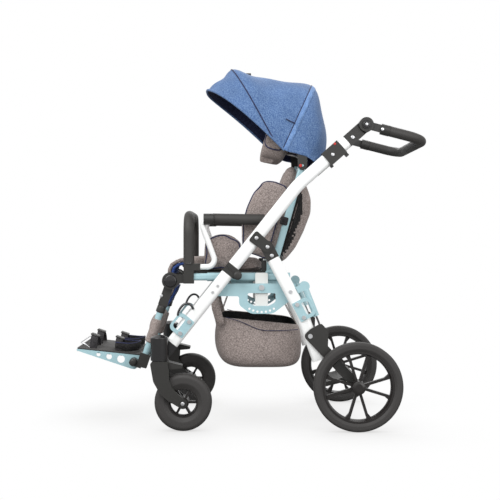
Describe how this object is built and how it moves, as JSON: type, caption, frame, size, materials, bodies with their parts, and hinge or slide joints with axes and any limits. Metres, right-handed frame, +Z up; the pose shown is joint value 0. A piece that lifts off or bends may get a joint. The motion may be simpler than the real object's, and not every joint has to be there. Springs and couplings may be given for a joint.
{
  "type": "special needs stroller",
  "caption": "Folding special needs stroller with tilting padded seat, reclining back, headrest, canopy, leg rest with footplate, swivel casters, sprung rear axle and push handle.",
  "frame": {"origin": "on the floor under the middle of the stroller's overall box", "axes": "+Z up, the stroller faces -X, the child's left side is at -Y"},
  "size_m": [1.2323, 0.632, 1.2833],
  "materials": {
    "white_tube": "gloss",
    "blue_metal": "satin",
    "blue_alloy": "satin",
    "pale_metal": "satin",
    "black_plastic": "satin",
    "black_metal": "satin",
    "steel": "satin",
    "alloy_bar": "satin",
    "wheel_plastic": "satin",
    "tyre_rubber": "matte",
    "black_foam": "matte",
    "grey_fabric": "matte",
    "blue_fabric": "matte",
    "black_webbing": "matte"
  },
  "bodies": {
    "chassis": {"lower_tubes": "white_tube", "base_frame": "blue_metal", "fold_knuckles_lower": "black_plastic", "frame_bolts": "steel", "caster_housings": "black_plastic", "front_tie_plates": "blue_metal", "basket": "grey_fabric"},
    "upper_frame": {"upper_tubes": "white_tube", "fold_knuckles_upper": "black_plastic", "leg_brackets": "black_plastic", "handle_sockets": "black_plastic"},
    "release_sliders": {"release_sliders": "black_plastic"},
    "handle": {"handle_hubs": "black_plastic", "handle_bar": "alloy_bar", "handle_grip": "black_foam"},
    "handle_button_left": {"handle_button_left": "black_plastic"},
    "handle_button_right": {"handle_button_right": "black_plastic"},
    "rear_legs": {"rear_legs": "white_tube", "leg_caps": "black_plastic", "rear_tie_plates": "blue_metal", "leg_bolts": "steel", "damper_sleeves": "blue_metal"},
    "axle_frame": {"axle_frame": "black_metal", "damper_rods": "steel"},
    "brake": {"brake_bar": "black_plastic"},
    "rear_wheel_left": {"rear_tyre_left": "tyre_rubber", "rear_rim_left": "wheel_plastic"},
    "rear_wheel_right": {"rear_tyre_right": "tyre_rubber", "rear_rim_right": "wheel_plastic"},
    "caster_left": {"caster_fork_left": "black_plastic"},
    "caster_right": {"caster_fork_right": "black_plastic"},
    "caster_wheel_left": {"caster_tyre_left": "tyre_rubber", "caster_rim_left": "wheel_plastic"},
    "caster_wheel_right": {"caster_tyre_right": "tyre_rubber", "caster_rim_right": "wheel_plastic"},
    "seat": {"seat_frame": "blue_metal", "tilt_arms": "pale_metal", "seat_board": "black_plastic", "seat_cushion": "grey_fabric", "thigh_guides": "grey_fabric"},
    "seat_front": {"seat_extensions": "blue_metal", "seat_blocks": "black_plastic", "armrest_tubes": "white_tube", "armrest_pads": "black_foam"},
    "bumper": {"bumper_tube": "alloy_bar", "bumper_foam": "black_foam"},
    "backrest": {"back_frame": "blue_metal", "back_cushion": "grey_fabric", "back_wings": "grey_fabric", "back_pouch": "grey_fabric"},
    "headrest": {"headrest": "grey_fabric"},
    "canopy": {"canopy": "blue_fabric", "canopy_clips": "black_plastic"},
    "legrest": {"legrest_arms": "black_plastic", "legrest_tubes": "blue_metal", "calf_pad": "grey_fabric"},
    "foot_slide": {"foot_clamps": "black_plastic"},
    "footplate": {"footplate": "blue_alloy", "foot_straps": "black_webbing"}
  },
  "joints": [
    {"name": "frame_fold", "type": "hinge", "parent": "chassis", "child": "upper_frame", "pos_m": [-0.04574, 0, 0.5287], "axis": [0, 1, 0], "range_deg": [0, 120]},
    {"name": "rear_leg_fold", "type": "hinge", "parent": "upper_frame", "child": "rear_legs", "pos_m": [0.0555, 0, 0.62706], "axis": [0, 1, 0], "range_deg": [-90, 0]},
    {"name": "release_slide", "type": "slide", "parent": "upper_frame", "child": "release_sliders", "axis": [0.749, 0, 0.6626], "range_m": [0, 0.012], "stiffness_N_per_m": 600, "springref_m": -0.01},
    {"name": "handle_tilt", "type": "hinge", "parent": "upper_frame", "child": "handle", "pos_m": [0.39649, 0, 1.04743], "axis": [0, -1, 0], "range_deg": [-60, 70]},
    {"name": "handle_button_press_left", "type": "slide", "parent": "handle", "child": "handle_button_left", "axis": [0, 1, 0], "range_m": [0, 0.0035], "stiffness_N_per_m": 800, "springref_m": -0.004},
    {"name": "handle_button_press_right", "type": "slide", "parent": "handle", "child": "handle_button_right", "axis": [0, -1, 0], "range_m": [0, 0.0035], "stiffness_N_per_m": 800, "springref_m": -0.004},
    {"name": "suspension", "type": "hinge", "parent": "rear_legs", "child": "axle_frame", "pos_m": [0.20332, 0, 0.32147], "axis": [0, -1, 0], "range_deg": [0, 2.5], "stiffness_Nm_per_rad": 900, "springref_deg": -3.44},
    {"name": "brake_pedal", "type": "hinge", "parent": "axle_frame", "child": "brake", "pos_m": [0.364, 0, 0.152], "axis": [0, -1, 0], "range_deg": [0, 25]},
    {"name": "rear_wheel_spin_left", "type": "hinge", "parent": "axle_frame", "child": "rear_wheel_left", "pos_m": [0.364, -0.286, 0.152], "axis": [0, 1, 0], "continuous": true},
    {"name": "rear_wheel_spin_right", "type": "hinge", "parent": "axle_frame", "child": "rear_wheel_right", "pos_m": [0.364, 0.286, 0.152], "axis": [0, 1, 0], "continuous": true},
    {"name": "caster_swivel_left", "type": "hinge", "parent": "chassis", "child": "caster_left", "pos_m": [-0.31305, -0.266, 0.2], "axis": [0, 0, 1], "continuous": true},
    {"name": "caster_swivel_right", "type": "hinge", "parent": "chassis", "child": "caster_right", "pos_m": [-0.31305, 0.266, 0.2], "axis": [0, 0, 1], "continuous": true},
    {"name": "caster_spin_left", "type": "hinge", "parent": "caster_left", "child": "caster_wheel_left", "pos_m": [-0.23105, -0.266, 0.098], "axis": [0, 1, 0], "continuous": true},
    {"name": "caster_spin_right", "type": "hinge", "parent": "caster_right", "child": "caster_wheel_right", "pos_m": [-0.23105, 0.266, 0.098], "axis": [0, 1, 0], "continuous": true},
    {"name": "seat_tilt", "type": "hinge", "parent": "chassis", "child": "seat", "pos_m": [0.038, 0, 0.486], "axis": [0, 1, 0], "range_deg": [0, 30]},
    {"name": "seat_depth", "type": "slide", "parent": "seat", "child": "seat_front", "axis": [-1, 0, 0], "range_m": [0, 0.05]},
    {"name": "bumper_lift", "type": "slide", "parent": "seat_front", "child": "bumper", "axis": [0, 0, 1], "range_m": [0, 0.08]},
    {"name": "back_recline", "type": "hinge", "parent": "seat", "child": "backrest", "pos_m": [0.074, 0, 0.532], "axis": [0, 1, 0], "range_deg": [0, 25]},
    {"name": "headrest_height", "type": "slide", "parent": "backrest", "child": "headrest", "axis": [0.2756, 0, 0.9613], "range_m": [-0.02, 0.05]},
    {"name": "canopy_swing", "type": "hinge", "parent": "backrest", "child": "canopy", "pos_m": [0.18315, 0, 0.91266], "axis": [0, 1, 0], "range_deg": [-8, 12]},
    {"name": "legrest_swing", "type": "hinge", "parent": "seat_front", "child": "legrest", "pos_m": [-0.28, 0, 0.508], "axis": [0, 1, 0], "range_deg": [0, 60]},
    {"name": "foot_length", "type": "slide", "parent": "legrest", "child": "foot_slide", "axis": [-0.3256, 0, -0.9455], "range_m": [-0.03, 0.02]},
    {"name": "footplate_flip", "type": "hinge", "parent": "foot_slide", "child": "footplate", "pos_m": [-0.41248, 0, 0.22152], "axis": [0, 1, 0], "range_deg": [0, 70]}
  ],
  "couplings": [
    {"joint": "rear_leg_fold", "follows": "frame_fold", "ratio": -0.75}
  ]
}
